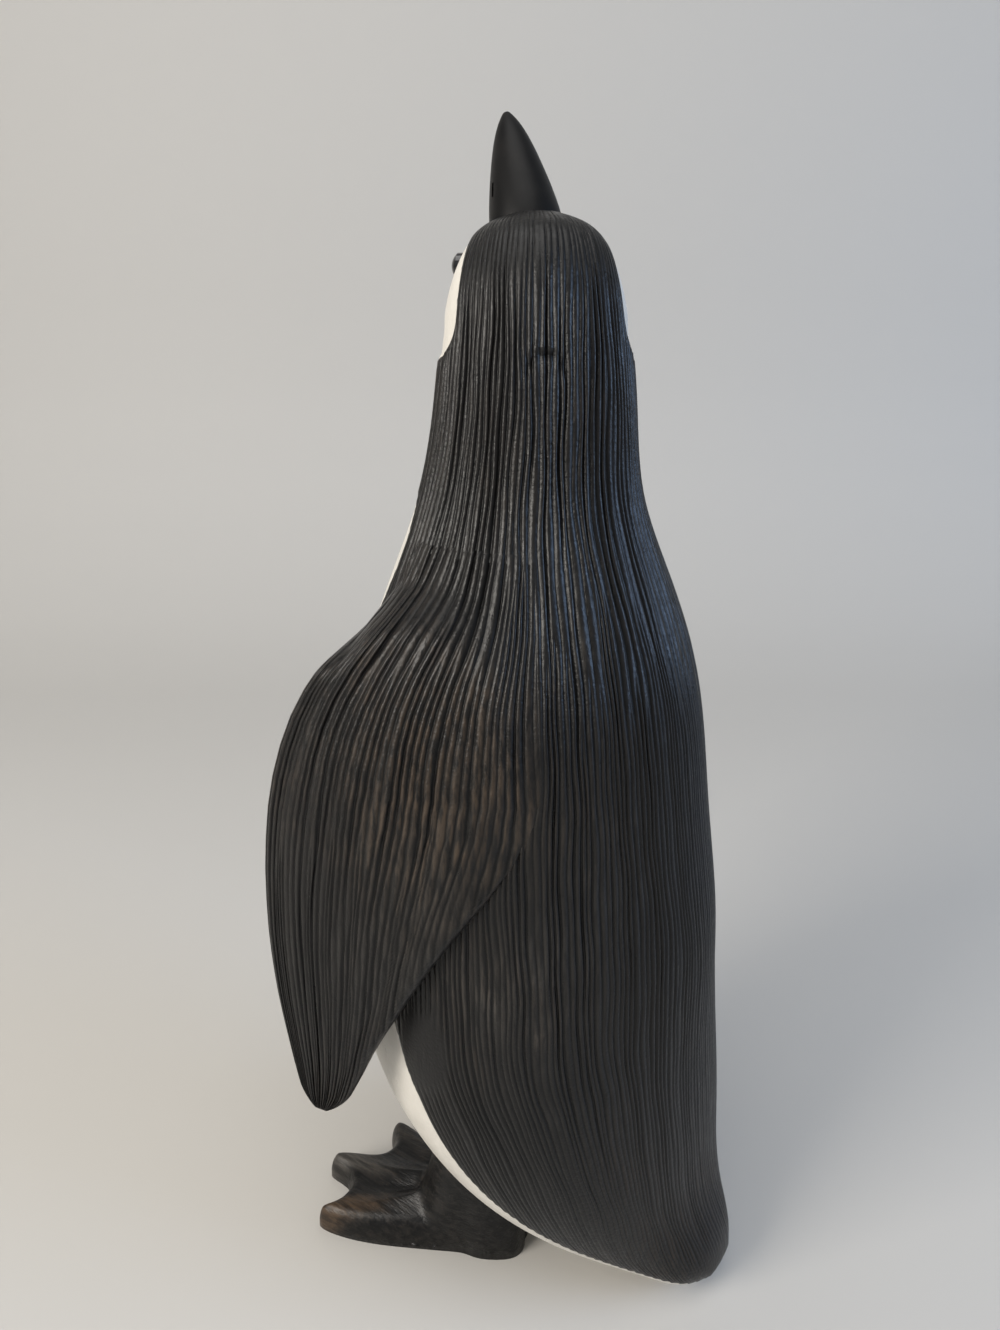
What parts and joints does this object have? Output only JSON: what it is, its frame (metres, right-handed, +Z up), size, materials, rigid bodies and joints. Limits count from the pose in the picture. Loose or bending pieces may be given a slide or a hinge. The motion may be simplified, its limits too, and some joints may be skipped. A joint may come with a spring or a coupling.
{
  "type": "penguin figurine",
  "caption": "Carved wooden penguin figurine that stands on webbed feet, head turned and beak raised, with carved feather lines, painted black above and white below.",
  "frame": {"origin": "on the table, at the middle of the figure's outer box", "axes": "+Z up; the body and its toes face -Y, the tail is towards +Y, the penguin's own left side is +X"},
  "size_m": [0.1264, 0.118, 0.3035],
  "materials": {
    "carved_painted_wood": "satin black paint over carved wood, white on the cheeks, breast and belly",
    "beak_paint": "smooth satin black paint",
    "foot_paint": "worn satin black paint over brown wood",
    "eye_glass": "polished black glass",
    "bare_wood": "bare turned wood",
    "screw_steel": "plain steel"
  },
  "bodies": {
    "root": {"torso": "carved_painted_wood", "head": "carved_painted_wood", "left_flipper": "carved_painted_wood", "right_flipper": "carved_painted_wood", "beak": "beak_paint", "left_eye": "eye_glass", "right_eye": "eye_glass", "left_foot": "foot_paint", "right_foot": "foot_paint", "neck_dowel": "bare_wood", "nape_peg": "bare_wood", "beak_dowel": "bare_wood", "left_flipper_upper_dowel": "bare_wood", "left_flipper_lower_dowel": "bare_wood", "right_flipper_upper_dowel": "bare_wood", "right_flipper_lower_dowel": "bare_wood", "left_leg_dowel": "bare_wood", "right_leg_dowel": "bare_wood", "left_foot_screw": "screw_steel", "right_foot_screw": "screw_steel"}
  },
  "joints": []
}
